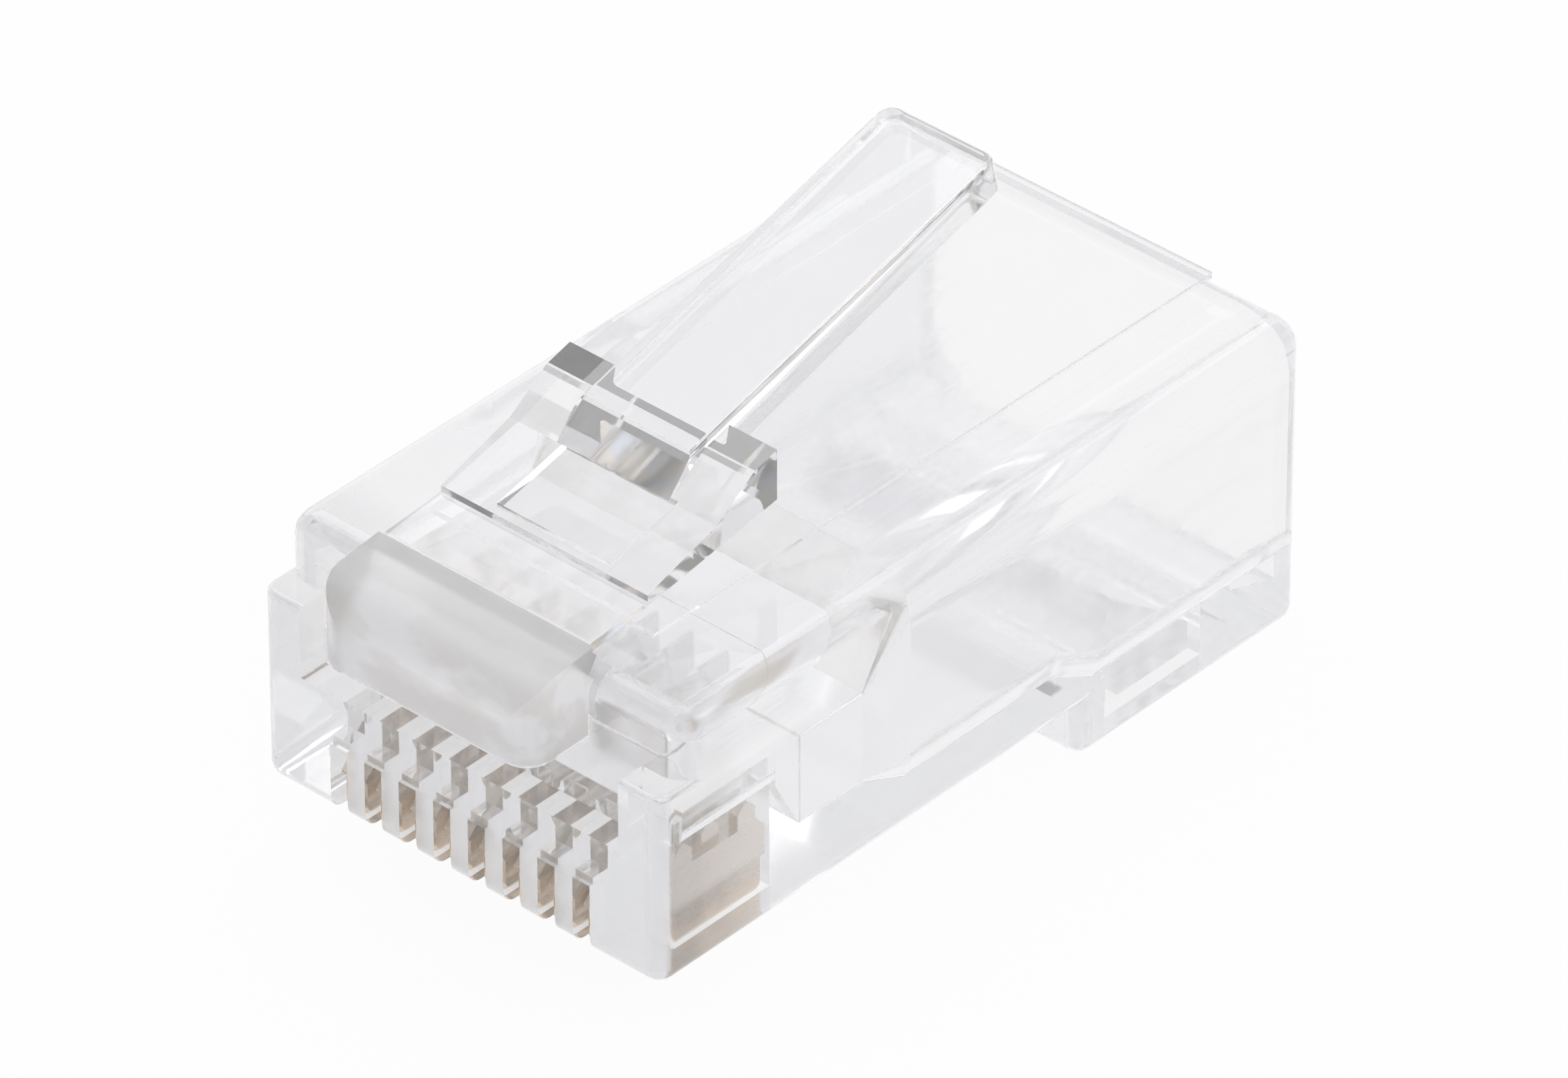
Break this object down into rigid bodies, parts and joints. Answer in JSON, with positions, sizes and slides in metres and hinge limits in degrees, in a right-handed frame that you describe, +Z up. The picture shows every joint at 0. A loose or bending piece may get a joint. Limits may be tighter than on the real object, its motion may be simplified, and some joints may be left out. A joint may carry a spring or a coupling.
{
  "type": "modular plug",
  "caption": "Clear uncrimped modular plug with gold-plated contacts, a springing latch on top and a cable cavity open at the rear.",
  "frame": {"origin": "under the middle of the overall length and width, at the level of the foot's underside", "axes": "+X across the plug, +Y from the nose to the cable entry, +Z up towards the latch"},
  "size_m": [0.0116, 0.022, 0.0131],
  "materials": {
    "clear_plastic": "clear polycarbonate",
    "gold_plate": "gold over nickel"
  },
  "bodies": {
    "housing": {"housing": "clear_plastic"},
    "latch": {"latch": "clear_plastic"},
    "jacket_anchor": {"jacket_anchor": "clear_plastic"},
    "contact_1": {"contact_1": "gold_plate"},
    "contact_2": {"contact_2": "gold_plate"},
    "contact_3": {"contact_3": "gold_plate"},
    "contact_4": {"contact_4": "gold_plate"},
    "contact_5": {"contact_5": "gold_plate"},
    "contact_6": {"contact_6": "gold_plate"},
    "contact_7": {"contact_7": "gold_plate"},
    "contact_8": {"contact_8": "gold_plate"}
  },
  "joints": [
    {"name": "latch_hinge", "type": "hinge", "parent": "housing", "child": "latch", "pos_m": [0, -0.00885, 0.00856], "axis": [-1, 0, 0], "range_deg": [0, 11.5], "stiffness_Nm_per_rad": 0.25},
    {"name": "anchor_hinge", "type": "hinge", "parent": "housing", "child": "jacket_anchor", "pos_m": [0, 0.0053, 0.00125], "axis": [1, 0, 0], "range_deg": [0, 20]},
    {"name": "contact_1_crimp", "type": "slide", "parent": "housing", "child": "contact_1", "axis": [0, 0, 1], "range_m": [0, 0.0007]},
    {"name": "contact_2_crimp", "type": "slide", "parent": "housing", "child": "contact_2", "axis": [0, 0, 1], "range_m": [0, 0.0007]},
    {"name": "contact_3_crimp", "type": "slide", "parent": "housing", "child": "contact_3", "axis": [0, 0, 1], "range_m": [0, 0.0007]},
    {"name": "contact_4_crimp", "type": "slide", "parent": "housing", "child": "contact_4", "axis": [0, 0, 1], "range_m": [0, 0.0007]},
    {"name": "contact_5_crimp", "type": "slide", "parent": "housing", "child": "contact_5", "axis": [0, 0, 1], "range_m": [0, 0.0007]},
    {"name": "contact_6_crimp", "type": "slide", "parent": "housing", "child": "contact_6", "axis": [0, 0, 1], "range_m": [0, 0.0007]},
    {"name": "contact_7_crimp", "type": "slide", "parent": "housing", "child": "contact_7", "axis": [0, 0, 1], "range_m": [0, 0.0007]},
    {"name": "contact_8_crimp", "type": "slide", "parent": "housing", "child": "contact_8", "axis": [0, 0, 1], "range_m": [0, 0.0007]}
  ]
}
